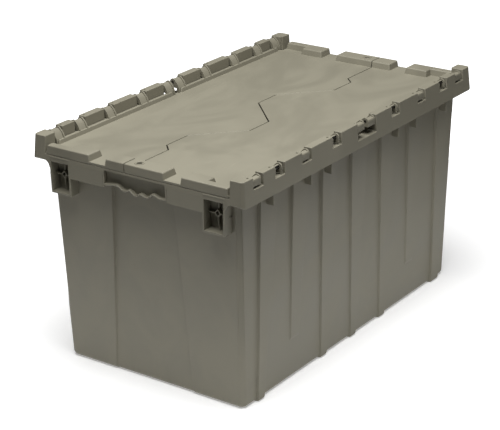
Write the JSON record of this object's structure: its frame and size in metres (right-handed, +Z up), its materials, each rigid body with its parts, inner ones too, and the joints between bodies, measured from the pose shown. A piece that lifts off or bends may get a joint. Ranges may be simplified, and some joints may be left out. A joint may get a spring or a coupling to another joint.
{
  "type": "attached lid tote",
  "caption": "Tapered, nestable moulded storage tote whose interlocking lid halves hinge on rods along its long rims.",
  "frame": {"origin": "middle of the underside, on the surface the tote stands on", "axes": "+X along the long side, +Y across it from the front lid's hinge towards the back lid's, +Z up"},
  "size_m": [0.565, 0.338, 0.322],
  "materials": {
    "tote_plastic": "satin, fine moulded grain, warm grey",
    "lid_plastic": "satin, fine moulded grain, warm grey",
    "rod_steel": "drawn wire, plain"
  },
  "bodies": {
    "tote": {"tote_body": "tote_plastic", "hinge_rod_front_left": "rod_steel", "hinge_rod_front_right": "rod_steel", "hinge_rod_back_left": "rod_steel", "hinge_rod_back_right": "rod_steel"},
    "front_lid": {"lid_front": "lid_plastic"},
    "back_lid": {"lid_back": "lid_plastic"}
  },
  "joints": [
    {"name": "front_lid_hinge", "type": "hinge", "parent": "tote", "child": "front_lid", "pos_m": [0, -0.1606, 0.316], "axis": [1, 0, 0], "range_deg": [0, 256]},
    {"name": "back_lid_hinge", "type": "hinge", "parent": "tote", "child": "back_lid", "pos_m": [0, 0.1606, 0.316], "axis": [-1, 0, 0], "range_deg": [0, 256]}
  ]
}
